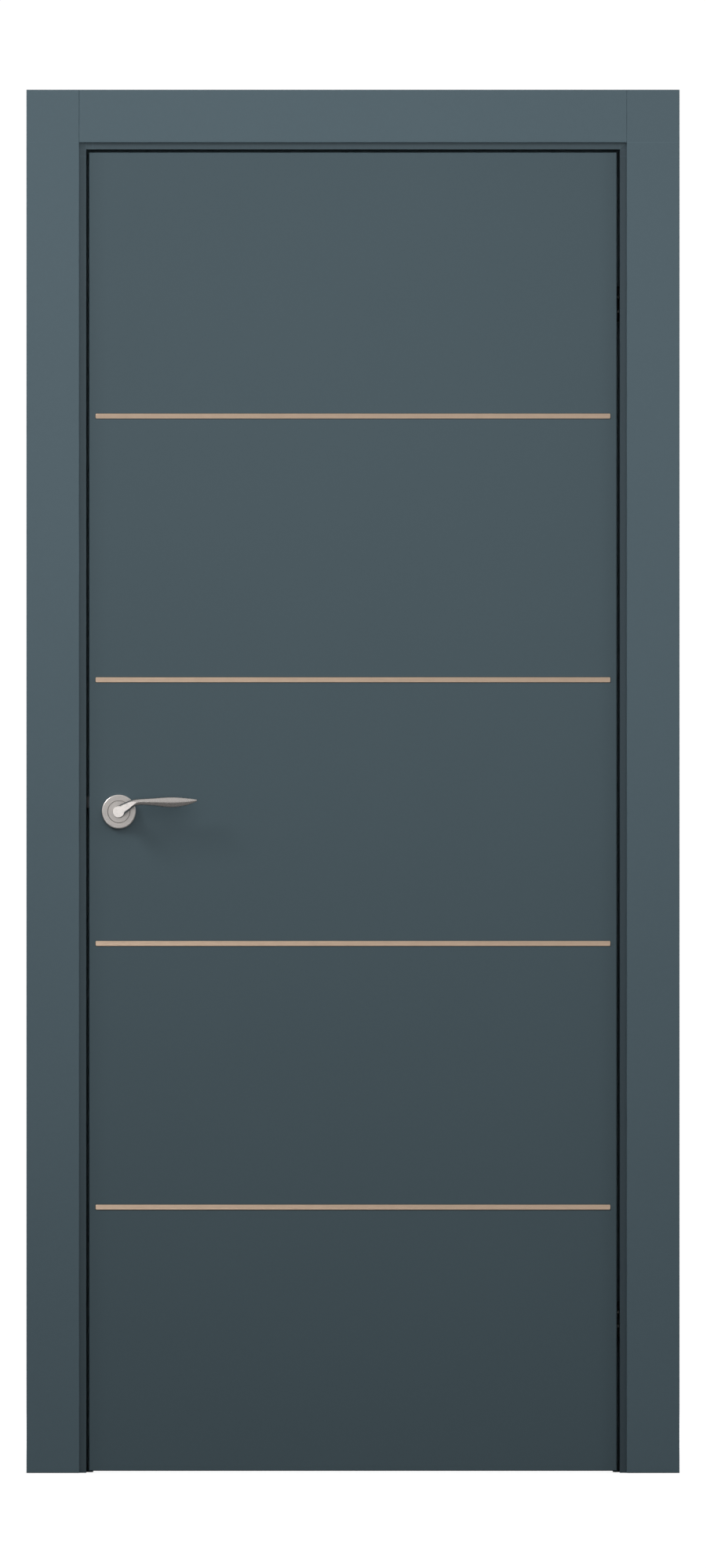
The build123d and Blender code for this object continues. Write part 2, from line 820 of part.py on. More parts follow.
with BuildPart() as leaf_front_skin:
    with Locations((0, skin_thickness / 2, leaf_bottom + leaf_height / 2)):
        Box(leaf_width, skin_thickness, leaf_height)
    fillet(faces().sort_by(Axis.Y)[0].edges(), radius=skin_edge_radius)
    for height in moulding_heights:
        with BuildSketch(Plane.XZ):
            with Locations((0, height)):
                RectangleRounded(
                    moulding_length + 2 * moulding_shadow_line,
                    moulding_width + 2 * moulding_shadow_line,
                    moulding_corner_radius + moulding_shadow_line,
                )
        extrude(amount=-moulding_bed_depth, mode=Mode.SUBTRACT)
        with BuildSketch(Plane.XZ):
            with Locations((0, height)):
                Rectangle(moulding_length, moulding_stem_width + 2 * recess_play)
        extrude(amount=-moulding_stem_depth - recess_play, mode=Mode.SUBTRACT)
    add(hinge_recesses(-1), mode=Mode.SUBTRACT)
    bore(spindle_x, spindle_z, neck_radius + play, leaf_thickness)
    for place_x in rose_bolt_places:
        bore(place_x, spindle_z, rose_bolt_radius + play, leaf_thickness)
keep(leaf_front_skin, "leaf_front_skin")

with BuildPart() as leaf_back_skin:
    mirror(leaf_front_skin.part, about=middle_plane)
keep(leaf_back_skin, "leaf_back_skin")

for number, height in enumerate(moulding_heights, start=1):
    with BuildPart() as front_moulding:
        with BuildSketch(Plane.XZ.offset(-moulding_bed_depth)):
            with Locations((0, height)):
                RectangleRounded(moulding_length, moulding_width, moulding_corner_radius)
        extrude(amount=moulding_bed_depth + moulding_projection)
        fillet(faces().sort_by(Axis.Y)[0].edges(), radius=moulding_edge_radius)
        with BuildSketch(Plane.XZ.offset(moulding_projection)):
            with Locations((0, height)):
                RectangleRounded(
                    moulding_length - 2 * moulding_rim,
                    moulding_width - 2 * moulding_rim,
                    moulding_corner_radius / 2,
                )
        extrude(amount=-moulding_channel_depth, mode=Mode.SUBTRACT)
        with BuildSketch(Plane.XZ.offset(-moulding_bed_depth)):
            with Locations((0, height)):
                Rectangle(moulding_length - 2 * moulding_corner_radius, moulding_stem_width)
        extrude(amount=moulding_bed_depth - moulding_stem_depth)
    keep(front_moulding, f"front_moulding_{number}")

    with BuildPart() as back_moulding:
        mirror(front_moulding.part, about=middle_plane)
    keep(back_moulding, f"back_moulding_{number}")


# Roses
handle_axis = Axis((spindle_x, 0, spindle_z), (0, -1, 0))
rose_profile_plane = Plane(origin=(spindle_x, 0, spindle_z), x_dir=(1, 0, 0), z_dir=(0, 0, -1))
neck_hole_radius = neck_radius + play
base_radius = rose_radius - rose_wall - play
base_height = rose_height - rose_wall - play

with BuildPart() as front_rose_cover:
    with BuildSketch(rose_profile_plane):
        with BuildLine():
            Polyline(
                (rose_radius - rose_wall, 0),
                (rose_radius, 0),
                (rose_radius, rose_height),
                (neck_hole_radius, rose_height),
                (neck_hole_radius, rose_height - rose_wall),
                (rose_radius - rose_wall, rose_height - rose_wall),
                close=True,
            )
        make_face()
        with Locations((rose_groove_radius, rose_height)):
            Rectangle(rose_groove_width, 2 * rose_groove_depth, mode=Mode.SUBTRACT)
    revolve(axis=handle_axis)
    rim = edges().filter_by(GeomType.CIRCLE).group_by(Axis.Y)[0].sort_by(SortBy.RADIUS)[-1]
    fillet(rim, radius=rose_rim_radius)
keep(front_rose_cover, "front_rose_cover")

bolt_head_face = base_height - rose_bolt_cover
with BuildPart() as front_rose_base:
    with BuildSketch(Plane.XZ):
        with Locations((spindle_x, spindle_z)):
            Circle(base_radius)
            Circle(neck_hole_radius, mode=Mode.SUBTRACT)
    extrude(amount=base_height)
    for place_x in rose_bolt_places:
        bore(place_x, spindle_z, rose_bolt_radius, 2 * (leaf_middle + base_height))
        with BuildSketch(Plane.XZ.offset(base_height)):
            with Locations((place_x, spindle_z)):
                Circle(rose_bolt_head_radius + play)
        extrude(amount=-rose_bolt_cover - rose_bolt_head_height, mode=Mode.SUBTRACT)
keep(front_rose_base, "front_rose_base")

with BuildPart() as rose_bolts:
    for place_x in rose_bolt_places:
        full_length = leaf_thickness + 2 * bolt_head_face
        bore(place_x, spindle_z, rose_bolt_radius, full_length, mode=Mode.ADD)
        for head_face in (bolt_head_face, rose_bolt_head_height - leaf_thickness - bolt_head_face):
            with BuildSketch(Plane.XZ.offset(head_face)):
                with Locations((place_x, spindle_z)):
                    Circle(rose_bolt_head_radius)
            extrude(amount=-rose_bolt_head_height)
keep(rose_bolts, "rose_bolts")


# Levers
def lever_plane(reach, rise, distance, heading):
    """Plane across the lever, pointing along it."""
    return Plane(
        origin=(spindle_x + reach, -distance, spindle_z + rise),
        x_dir=(0, 1, 0),
        z_dir=(cos(radians(heading)), 0, sin(radians(heading))),
    )


neck_start = rose_height - neck_bearing
socket_end = spindle_overlap + neck_start
facet = Plane(
    origin=(spindle_x, -facet_distance, spindle_z),
    z_dir=(
        -facet_slope * cos(radians(facet_heading)),
        -1,
        -facet_slope * sin(radians(facet_heading)),
    ),
)
with BuildPart() as front_lever:
    for reach, rise, distance, heading, half_height, half_depth in lever_stations:
        with BuildSketch(lever_plane(reach, rise, distance, heading)):
            Ellipse(half_depth, half_height)
    loft()
    with BuildSketch(Plane.XZ.offset(neck_start)):
        with Locations((spindle_x, spindle_z)):
            Circle(neck_radius)
    extrude(amount=facet_distance + neck_radius - neck_start)
    split(bisect_by=facet, keep=Keep.BOTTOM)
    with BuildSketch(Plane.XZ.offset(neck_start)):
        with Locations((spindle_x, spindle_z)):
            Rectangle(square_bore, square_bore)
    extrude(amount=spindle_overlap + play, mode=Mode.SUBTRACT)
    grub_plane = Plane(origin=(spindle_x, -grub_distance, spindle_z), z_dir=(0, 0, -1))
    with BuildSketch(grub_plane):
        Circle(grub_radius)
    extrude(amount=neck_radius, mode=Mode.SUBTRACT)
keep(front_lever, "front_lever")

with BuildPart() as spindle:
    with Locations((spindle_x, leaf_middle, spindle_z)):
        Box(spindle_side, leaf_thickness + 2 * socket_end, spindle_side)
keep(spindle, "spindle")

with BuildPart() as lever_grub_screws:
    for distance in (-grub_distance, leaf_thickness + grub_distance):
        seat = Plane(origin=(spindle_x, distance, spindle_z - spindle_side / 2), z_dir=(0, 0, -1))
        with BuildSketch(seat):
            Circle(grub_radius)
        extrude(amount=grub_length)
        with BuildSketch(seat.offset(grub_length)):
            RegularPolygon(grub_radius / 2, grub_socket_sides)
        extrude(amount=-grub_length / 2, mode=Mode.SUBTRACT)
keep(lever_grub_screws, "lever_grub_screws")

for piece, name in (
    (front_rose_cover, "back_rose_cover"),
    (front_rose_base, "back_rose_base"),
    (front_lever, "back_lever"),
):
    with BuildPart() as back_piece:
        mirror(piece.part, about=middle_plane)
    keep(back_piece, name)
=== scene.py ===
import json
import math
from collections import namedtuple

import bpy
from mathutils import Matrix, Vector


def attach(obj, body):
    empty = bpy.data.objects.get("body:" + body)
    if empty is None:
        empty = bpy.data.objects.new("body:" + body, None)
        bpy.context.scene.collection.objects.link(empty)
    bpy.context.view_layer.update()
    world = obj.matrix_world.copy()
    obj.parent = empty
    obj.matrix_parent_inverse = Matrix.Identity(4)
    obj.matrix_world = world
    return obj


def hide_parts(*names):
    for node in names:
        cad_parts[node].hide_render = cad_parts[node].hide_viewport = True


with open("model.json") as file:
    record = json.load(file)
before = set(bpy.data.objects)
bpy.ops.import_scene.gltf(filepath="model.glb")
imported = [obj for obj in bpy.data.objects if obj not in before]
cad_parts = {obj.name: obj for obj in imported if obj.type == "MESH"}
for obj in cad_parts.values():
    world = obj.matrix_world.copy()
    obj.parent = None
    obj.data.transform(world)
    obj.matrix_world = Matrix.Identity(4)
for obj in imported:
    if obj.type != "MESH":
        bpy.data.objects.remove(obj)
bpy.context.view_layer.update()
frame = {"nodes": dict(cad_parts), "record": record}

nodes = frame["nodes"]


# Sizes of the door, in metres: sides are measured from its middle, levels from the floor
mm = 0.001
leaf_side, leaf_foot, leaf_top = 0.400, 0.003, 2.003
leaf_middle, half_hollow = 0.022, 0.016
leaf_mid_level, half_leaf_height = 1.003, 1.0
jamb_side, jamb_top, stop_height = 0.4045, 2.0075, 0.010
casing_inner, casing_outer = 0.415, 0.495
casing_lower, casing_upper = 2.018, 2.098
wall_middle, half_wall = 0.05, 0.05
spindle_x, spindle_z = -0.355, 1.003
groove_radius, rim_radius = 0.0168, 0.0253


# Shader maths
class Wire:
    """A socket in a shader; sums, products and comparisons of it add Math nodes."""

    def __init__(self, shader, socket):
        self.shader = shader
        self.socket = socket

    def maths(self, operation, first, second=0.0):
        settings = {"operation": operation}
        return self.shader.node("ShaderNodeMath", settings, {0: first, 1: second})

    def __add__(self, other):
        return self.maths("ADD", self, other)

    def __sub__(self, other):
        return self.maths("SUBTRACT", self, other)

    def __rsub__(self, other):
        return self.maths("SUBTRACT", other, self)

    def __mul__(self, other):
        return self.maths("MULTIPLY", self, other)

    def __gt__(self, other):
        return self.maths("GREATER_THAN", self, other)

    def __lt__(self, other):
        return self.maths("LESS_THAN", self, other)

    def __abs__(self):
        return self.maths("ABSOLUTE", self)

    __radd__ = __add__
    __rmul__ = __mul__

    def most(self, other):
        return self.maths("MAXIMUM", self, other)

    def angle(self, reach):
        """Angle of a point that rises by this value at a reach."""
        return self.maths("ARCTAN2", self, reach)

    def root(self):
        return self.maths("SQRT", self)

    def fraction(self):
        return self.maths("FRACT", self)


class Shader:
    """A node tree under construction."""

    def __init__(self, owner):
        owner.use_nodes = True
        self.tree = owner.node_tree
        self.tree.nodes.clear()

    def node(self, kind, settings=None, sockets=None, output=0):
        """Adds a node, sets its settings, then the values or links of its sockets."""
        made = self.tree.nodes.new(kind)
        for name, value in (settings or {}).items():
            setattr(made, name, value)
        for key, value in (sockets or {}).items():
            if isinstance(value, Wire):
                self.tree.links.new(value.socket, made.inputs[key])
            else:
                made.inputs[key].default_value = value
        return Wire(self, made.outputs[output]) if made.outputs else None

    def spot(self):
        """Position in the door's own frame."""
        return self.node("ShaderNodeTexCoord", output="Object")

    def place(self):
        """That position and its three parts."""
        point = self.spot()
        return point, *[
            self.node("ShaderNodeSeparateXYZ", sockets={0: point}, output=axis) for axis in "XYZ"
        ]

    def stretched(self, point, scale):
        """The same position with each axis scaled by itself."""
        return self.node("ShaderNodeMapping", sockets={"Vector": point, "Scale": scale})

    def noise(self, point, scale, detail=2.0, roughness=0.5):
        sockets = {"Vector": point, "Scale": scale, "Detail": detail, "Roughness": roughness}
        return self.node("ShaderNodeTexNoise", sockets=sockets, output="Fac")

    def ramp(self, value, low, high, start=0.0, end=1.0):
        """Smooth step of a value between two limits."""
        return self.node(
            "ShaderNodeMapRange",
            {"interpolation_type": "SMOOTHSTEP"},
            {"Value": value, "From Min": low, "From Max": high, "To Min": start, "To Max": end},
        )

    def near(self, value, place, width):
        """1 where a value is at a place, falling to 0 at a width from it."""
        return self.ramp(abs(value - place), 0.0, width, 1.0, 0.0)

    def mix(self, factor, first, second):
        """Mix of two colours, each written as red, green and blue or taken from a node."""
        first, second = [
            colour if isinstance(colour, Wire) else (*colour, 1.0) for colour in (first, second)
        ]
        sockets = {0: factor, 6: first, 7: second}
        return self.node("ShaderNodeMix", {"data_type": "RGBA"}, sockets, output=2)

    def bump(self, height, distance, below=None):
        sockets = {"Height": height, "Distance": distance}
        if below:
            sockets["Normal"] = below
        return self.node("ShaderNodeBump", sockets=sockets)

    def finish(self, sockets):
        """Ends a material in one Principled surface."""
        surface = self.node("ShaderNodeBsdfPrincipled", sockets=sockets)
        self.node("ShaderNodeOutputMaterial", sockets={"Surface": surface})


def material(name):
    made = bpy.data.materials.new(name)
    return made, Shader(made)


# Colours
casing_blue = (0.0755, 0.111, 0.130)
# Jamb paint: the jambs' own blue-grey, made darker than the casing paint partly as painted shade
# for their recess behind the casings
jamb_shaded_blue = (0.055, 0.079, 0.092)
# Painted shade: a darker copy of the jamb paint for the hinge jamb, standing in for the shade on
# that side's strip
hinge_jamb_painted_shade_blue = (0.043, 0.062, 0.073)
leaf_blue = (0.061, 0.0905, 0.1055)
board_brown = (0.40, 0.28, 0.17)
chip_dark, chip_light = (0.30, 0.20, 0.11), (0.56, 0.41, 0.25)
pine_light, pine_dark = (0.46, 0.31, 0.17), (0.31, 0.18, 0.085)
champagne = (0.87, 0.66, 0.50)
nickel = (0.64, 0.605, 0.58)
chrome_satin = (0.60, 0.60, 0.59)
zinc_grey = (0.46, 0.465, 0.47)
# Painted shade: the latch bolt is made nearly black so that it reads as the shade deep in the seam
bolt_seam_shade_dark = (0.06, 0.062, 0.065)
dust_grey = (0.09, 0.095, 0.095)
seal_grey = (0.095, 0.128, 0.14)
soft_black = (0.02, 0.02, 0.021)


def shade(colour, amount):
    return tuple(part * amount for part in colour)


def grey(tone):
    return (tone, tone, tone)


# Finishes
def enamelled(name, colour, bare, sides, levels, edge_shade_strength=0.0):
    """Satin enamel over board or wood. Bare gives the mask, colour and texture of what is left
    unpainted, sides and levels the arrises that hands and shoes have rubbed, and the last setting
    how strongly painted shade darkens the strips beside the first of the sides."""
    worn_width, edge_shade_width, handled_width = 0.0012, 0.03, 0.16
    made, paint = material(name)
    place = paint.place()
    point, x, y, z = place
    cloud = paint.noise(point, scale=2.2, detail=3.0)
    mottle = paint.noise(point, scale=170.0)
    film = paint.mix(cloud, shade(colour, 0.965), shade(colour, 1.035))
    film = paint.mix(paint.ramp(mottle, 0.3, 0.75) * 0.35, film, shade(colour, 1.06))
    arrises = [paint.near(abs(x), side, worn_width) for side in sides]
    arrises += [paint.near(z, level, worn_width) for level in levels]
    rubbed = arrises[0]
    for arris in arrises[1:]:
        rubbed = rubbed.most(arris)
    rubbed = rubbed * paint.ramp(paint.noise(point, scale=14.0, detail=3.0), 0.35, 0.7)
    film = paint.mix(rubbed * 0.5, film, shade(colour, 1.5))
    # Painted shade: the paint darkens towards the first side, standing in for the shade of the
    # frame's recess near the leaf's edges
    if edge_shade_strength:
        painted_edge_shade = paint.near(abs(x), sides[0], edge_shade_width) * edge_shade_strength
        film = paint.mix(painted_edge_shade, film, shade(colour, 0.2))
    mask, under, coarse = bare(paint, place)
    peel = paint.noise(point, scale=900.0)
    nibs = paint.noise(point, scale=2600.0, detail=1.0)
    skin = paint.bump(peel * (1 - mask) + nibs * 0.2, 0.00006)
    beside = paint.near(x, spindle_x, handled_width)
    handled = beside * paint.near(z, spindle_z, handled_width)
    dullness = paint.noise(point, scale=7.0, detail=3.0)
    sheen = 0.44 + 0.10 * dullness + 0.05 * mottle - 0.07 * handled
    paint.finish(
        {
            "Base Color": paint.mix(mask, film, under),
            "Roughness": sheen.most(mask * 0.85),
            "Specular IOR Level": 0.16,
            "Normal": paint.bump(coarse * mask, 0.0002, below=skin),
        }
    )
    return made


def fibreboard(paint, point):
    """Brown of bare fibreboard, and its fibres."""
    fibres = paint.noise(point, scale=700.0, detail=4.0, roughness=0.7)
    return paint.mix(fibres, shade(board_brown, 0.75), shade(board_brown, 1.2)), fibres


def board_back(paint, place):
    """Bare fibreboard on all that faces the wall: backs of the casings, outsides of the jambs."""
    point, x, y, z = place
    between_casings = abs(y - wall_middle) < half_wall + 0.0002
    wall_side = (abs(x) > casing_inner + 0.0006).most(z > casing_lower + 0.0006)
    brown, fibres = fibreboard(paint, paint.stretched(point, (1.0, 1.0, 0.25)))
    return between_casings * wall_side, brown, fibres


def leaf_inside(paint, place):
    """Bare board on the inner faces of the skins."""
    point, x, y, z = place
    hollow = abs(y - leaf_middle) < half_hollow + 0.0002
    outline = (abs(x) > leaf_side - 0.0008).most(
        abs(z - leaf_mid_level) > half_leaf_height - 0.0008
    )
    brown, fibres = fibreboard(paint, point)
    return hollow * (1 - outline), brown, fibres


def bare_pine(paint, place):
    """Pine under the enamel of the leaf's edges."""
    point, x, _, z = place
    painted = (abs(x) > leaf_side - 0.0006).most(z > leaf_top - 0.0004)
    rings = paint.noise(
        paint.stretched(point, (22.0, 22.0, 1.1)), scale=5.0, detail=4.0, roughness=0.6
    )
    grain = paint.noise(paint.stretched(point, (900.0, 900.0, 18.0)), scale=1.0)
    bands = (rings * 9.0).fraction()
    tone = paint.ramp(bands, 0.05, 0.95) * 0.75 + grain * 0.25
    return 1 - painted, paint.mix(tone, pine_light, pine_dark), grain


def particle_board(name):
    """Chips of wood pressed into board."""
    made, board = material(name)
    sockets = {"Vector": board.spot(), "Scale": 260.0}
    cell = board.node("ShaderNodeTexVoronoi", sockets=sockets, output="Color")
    chips = board.node("ShaderNodeSeparateColor", sockets={0: cell})
    board.finish(
        {
            "Base Color": board.mix(chips, chip_dark, chip_light),
            "Roughness": 0.9,
            "Normal": board.bump(chips, 0.0004),
        }
    )
    return made


def metal(name, colour, stroke, roughness, streak=0.12, depth=0.000012, turned=False):
    """Brushed metal; stroke scales the fine noise along each axis. A turned piece is brushed
    round the spindle, with painted shade in its groove and a painted highlight on its rim."""
    groove_shade_width, rim_highlight_width, arc_scale = 0.0007, 0.0011, 0.004
    made, bar = material(name)
    point, x, y, z = bar.place()
    stroked = point
    if turned:
        reach, rise = x - spindle_x, z - spindle_z
        radius = (reach * reach + rise * rise).root()
        arc = rise.angle(reach) * arc_scale
        stroked = bar.node("ShaderNodeCombineXYZ", sockets={0: radius, 1: arc, 2: y})
    brush = bar.noise(bar.stretched(stroked, stroke), scale=1.0, detail=3.0, roughness=0.6)
    patina = bar.noise(point, scale=45.0, detail=3.0)
    dark, light = shade(colour, 1 - streak), shade(colour, 1 + streak)
    tone = bar.mix(bar.ramp(brush, 0.25, 0.75), dark, light)
    tone = bar.mix(bar.ramp(patina, 0.35, 0.8) * 0.3, tone, shade(colour, 0.86))
    if turned:
        # Painted shade: a dark ring in the turned groove, where the groove's shade falls
        groove_shade = bar.near(radius, groove_radius, groove_shade_width) * 0.65
        tone = bar.mix(groove_shade, tone, shade(colour, 0.12))
        # Painted highlight: the rim's colour is lightened to stand in for the light it reflects
        rim_highlight = bar.near(radius, rim_radius, rim_highlight_width) * 0.9
        tone = bar.mix(rim_highlight, tone, shade(colour, 1.5))
    bar.finish(
        {
            "Base Color": tone,
            "Metallic": 1.0,
            "Roughness": roughness + 0.12 * brush + 0.06 * patina,
            "Normal": bar.bump(brush, depth),
        }
    )
    return made


def rubber(name, colour):
    """Matt rubber or plastic with a little dust on it."""
    made, strip = material(name)
    point = strip.spot()
    dust = strip.noise(point, scale=60.0, detail=4.0, roughness=0.7)
    grain = strip.noise(point, scale=3000.0, detail=1.0)
    strip.finish(
        {
            "Base Color": strip.mix(strip.ramp(dust, 0.45, 0.8) * 0.25, colour, dust_grey),
            "Roughness": 0.62 + 0.2 * dust,
            "Specular IOR Level": 0.3,
            "Normal": strip.bump(grain, 0.00002),
        }
    )
    return made


along_x, along_z = (60.0, 2500.0, 2500.0), (2500.0, 2500.0, 40.0)
casing_arrises = ((casing_inner, casing_outer), (casing_lower, casing_upper))
jamb_arrises = (
    (jamb_side - stop_height, jamb_side),
    (jamb_top - stop_height, jamb_top),
)
leaf_arrises = ((leaf_side,), (leaf_foot, leaf_top))
# The jamb enamels carry painted shade for the recess behind the casings
jamb_shaded_finish = enamelled("blue_grey_jamb_enamel_painted_shade", jamb_shaded_blue, board_back, *jamb_arrises)
# The hinge jamb's enamel is the jamb enamel with painted shade
hinge_jamb_shaded_finish = enamelled(
    "blue_grey_jamb_enamel_darker_painted_shade", hinge_jamb_painted_shade_blue, board_back, *jamb_arrises
)
jamb_shaded_finishes = {
    "lock_jamb": jamb_shaded_finish,
    "head_jamb": jamb_shaded_finish,
    "hinge_jamb": hinge_jamb_shaded_finish,
}
finishes = {
    "frame_paint": enamelled(
        "blue_grey_casing_enamel", casing_blue, board_back, *casing_arrises
    ),
    # The leaf's enamel gets painted shade along its side edges
    "leaf_paint": enamelled(
        "blue_grey_leaf_enamel", leaf_blue, leaf_inside, *leaf_arrises, edge_shade_strength=0.12
    ),
    "leaf_edge": enamelled("enamelled_pine", leaf_blue, bare_pine, *leaf_arrises),
    "core_board": particle_board("tubular_particle_board"),
    "moulding_metal": metal("champagne_anodised", champagne, (6.0, 4000.0, 4000.0), 0.30),
    "handle_nickel": metal("satin_nickel", nickel, along_x, 0.17, streak=0.03, depth=0.000001),
    "satin_plate": metal("satin_chromed_zinc", chrome_satin, along_z, 0.28),
    "zinc_steel": metal("zinc_plated_steel", zinc_grey, grey(500.0), 0.34, streak=0.18),
    "screw_steel": metal("bright_zinc_plate", chrome_satin, grey(900.0), 0.30, streak=0.1),
    "seal_rubber": rubber("seal_rubber", seal_grey),
    "black_plastic": rubber("moulded_black_plastic", soft_black),
}
rose_finish = metal(
    "turned_satin_nickel",
    nickel,
    (5200.0, 60.0, 2500.0),
    0.20,
    streak=0.05,
    depth=0.000002,
    turned=True,
)
# The latch bolt's near-black colour is painted shade for the seam it sits in
bolt_shaded_finish = metal("dark_bolt_painted_shade", bolt_seam_shade_dark, along_x, 0.30)

for piece in frame["record"]["subparts"]:
    slots = nodes[piece["node"]].data.materials
    look = jamb_shaded_finishes.get(piece["node"], finishes[piece["material_slot"]])
    if not slots:
        slots.append(look)
    for index in range(len(slots)):
        slots[index] = look


# Pieces modelled by hand
def deselect():
    bpy.ops.object.select_all(action="DESELECT")


def alone(piece):
    """Leaves only this piece selected, and makes it the active one."""
    deselect()
    piece.select_set(True)
    bpy.context.view_layer.objects.active = piece


def settle():
    """Puts the place, turn and scale of the selected pieces into their meshes."""
    bpy.ops.object.transform_apply(location=True, rotation=True, scale=True)


def begin(primitive, scale=(1.0, 1.0, 1.0), **settings):
    """A primitive on its own in the selection, with its place in its mesh."""
    deselect()
    primitive(**settings)
    piece = bpy.context.object
    piece.scale = scale
    settle()
    return piece


def copy_of(piece):
    """A copy of a piece, with its own mesh."""
    alone(piece)
    bpy.ops.object.duplicate(linked=False)
    return bpy.context.object


def join(pieces):
    """Joins pieces into the first of them."""
    alone(pieces[0])
    for piece in pieces:
        piece.select_set(True)
    bpy.ops.object.join()
    return pieces[0]


def slab(low, high):
    """A box between two corners."""
    return begin(
        bpy.ops.mesh.primitive_cube_add,
        scale=tuple(high[axis] - low[axis] for axis in range(3)),
        size=1.0,
        location=tuple((low[axis] + high[axis]) / 2 for axis in range(3)),
    )


def edit_all():
    """Enters edit mode with all faces selected."""
    bpy.ops.object.mode_set(mode="EDIT")
    bpy.ops.mesh.select_mode(type="FACE")
    bpy.ops.mesh.select_all(action="SELECT")


parts_of = {"FACE": "polygons", "EDGE": "edges", "VERT": "vertices"}


def pick(piece, kind, test):
    """Enters edit mode with only those faces, edges or corners selected that pass the test."""
    bpy.ops.object.mode_set(mode="EDIT")
    bpy.ops.mesh.select_mode(type=kind)
    bpy.ops.mesh.select_all(action="DESELECT")
    bpy.ops.object.mode_set(mode="OBJECT")
    for part in getattr(piece.data, parts_of[kind]):
        part.select = test(part)
    bpy.ops.object.mode_set(mode="EDIT")


def middle(piece, part):
    """The middle of a face's or an edge's corners."""
    corners = piece.data.vertices
    return sum((corners[index].co for index in part.vertices), Vector()) / len(part.vertices)


def push(*step):
    """Extrudes what is selected by a step."""
    bpy.ops.mesh.extrude_region_move(TRANSFORM_OT_translate={"value": step})


def close_up(piece, angle=35.0):
    """Merges doubles, turns all faces outwards, smooths shallow angles and leaves edit mode."""
    merge_distance = 0.002 * mm
    edit_all()
    bpy.ops.mesh.remove_doubles(threshold=merge_distance)
    bpy.ops.mesh.normals_make_consistent(inside=False)
    bpy.ops.object.mode_set(mode="OBJECT")
    bpy.ops.object.shade_smooth_by_angle(angle=math.radians(angle))
    return piece


def dress(piece, name, look, body, replaced):
    """Names a finished piece, gives it its finish and puts it in the place of a node."""
    piece.name = name
    piece.data.materials.clear()
    piece.data.materials.append(look)
    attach(piece, body)
    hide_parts(replaced)


def other_side(piece):
    """A copy of a piece, mirrored through the middle of the leaf."""
    twin = copy_of(piece)
    edit_all()
    bpy.ops.transform.resize(value=(1.0, -1.0, 1.0), center_override=(0.0, leaf_middle, 0.0))
    return close_up(twin)


# Lever: sizes in millimetres, heading in degrees above the level
Ring = namedtuple("Ring", "reach rise distance heading half_height half_depth")
lever_rings = (
    Ring(0.0, 0.0, 48.5, 38.0, 8.6, 6.8),
    Ring(13.0, 8.0, 50.0, 36.0, 6.7, 6.4),
    Ring(27.0, 14.3, 50.5, 14.0, 5.2, 5.7),
    Ring(52.0, 14.9, 50.5, 0.0, 6.2, 5.2),
    Ring(80.0, 14.4, 49.5, 0.0, 8.2, 4.8),
    Ring(103.0, 15.2, 48.0, 3.0, 5.9, 4.0),
    Ring(118.6, 17.2, 46.8, 8.0, 1.5, 1.4),
)
rings_between = 5


def between(before, start, end, after, share):
    """A ring on the smooth curve from start to end, bent as its neighbours ask."""
    return Ring(
        *(
            0.5
            * (
                2 * q
                + (r - p) * share
                + (2 * p - 5 * q + 4 * r - s) * share**2
                + (3 * q - p - 3 * r + s) * share**3
            )
            for p, q, r, s in zip(before, start, end, after)
        )
    )


def fine_rings():
    """The lever's rings, with more of them between each two."""
    last = len(lever_rings) - 1
    fine = []
    for number in range(last):
        around = [lever_rings[min(max(number + step, 0), last)] for step in (-1, 0, 1, 2)]
        fine += [between(*around, share / rings_between) for share in range(rings_between)]
    return fine + [lever_rings[last]]


def grip():
    """Grip of the lever, drawn ring by ring to its tip."""
    tip_radius = 0.5 * mm
    rings = fine_rings()
    first = rings[0]
    made = begin(
        bpy.ops.mesh.primitive_circle_add,
        scale=(first.half_height * mm, first.half_depth * mm, 1.0),
        vertices=48,
        radius=1.0,
        fill_type="NGON",
        location=(spindle_x, -first.distance * mm, spindle_z),
        rotation=(0.0, math.radians(90.0 - first.heading), 0.0),
    )
    edit_all()
    for last, ring in zip(rings, rings[1:]):
        centre = (spindle_x + ring.reach * mm, -ring.distance * mm, spindle_z + ring.rise * mm)
        tall, deep = ring.half_height / last.half_height, ring.half_depth / last.half_depth
        push(
            (ring.reach - last.reach) * mm,
            (last.distance - ring.distance) * mm,
            (ring.rise - last.rise) * mm,
        )
        bpy.ops.transform.rotate(
            value=math.radians(ring.heading - last.heading),
            orient_axis="Y",
            center_override=centre,
        )
        bpy.ops.transform.resize(value=(tall, deep, tall), center_override=centre)
    bpy.ops.mesh.bevel(offset=tip_radius, segments=3)
    return close_up(made)


def lever():
    """Grip joined to the round neck, with the flat facet cut and softened."""
    neck_start, neck_end, neck_radius = 3.0 * mm, 62.0 * mm, 8.6 * mm
    facet_distance, tilt, turn = 53.6 * mm, 0.085, math.radians(30.0)
    facet_radius, flat, on_plane = 0.35 * mm, 0.12 * mm, 0.003 * mm
    made = grip()
    neck = begin(
        bpy.ops.mesh.primitive_cylinder_add,
        vertices=64,
        radius=neck_radius,
        depth=neck_end - neck_start,
        location=(spindle_x, -(neck_start + neck_end) / 2, spindle_z),
        rotation=(math.pi / 2, 0.0, 0.0),
    )
    alone(made)
    union = made.modifiers.new("neck", "BOOLEAN")
    union.operation = "UNION"
    union.solver = "EXACT"
    union.object = neck
    bpy.ops.object.modifier_apply(modifier=union.name)
    bpy.data.objects.remove(neck)
    start = Vector((spindle_x, -facet_distance, spindle_z))
    facing = Vector((-tilt * math.cos(turn), -1.0, -tilt * math.sin(turn)))
    edit_all()
    bpy.ops.mesh.bisect(plane_co=start, plane_no=facing, use_fill=True, clear_outer=True)
    pick(made, "EDGE", lambda edge: abs((middle(made, edge) - start).dot(facing)) < on_plane)
    bpy.ops.mesh.bevel(offset=facet_radius, segments=3, clamp_overlap=True)
    bpy.ops.object.mode_set(mode="OBJECT")
    widest = max(face.area for face in made.data.polygons)
    pick(made, "FACE", lambda face: face.area == widest)
    bpy.ops.mesh.inset(thickness=flat)
    return close_up(made, 30.0)


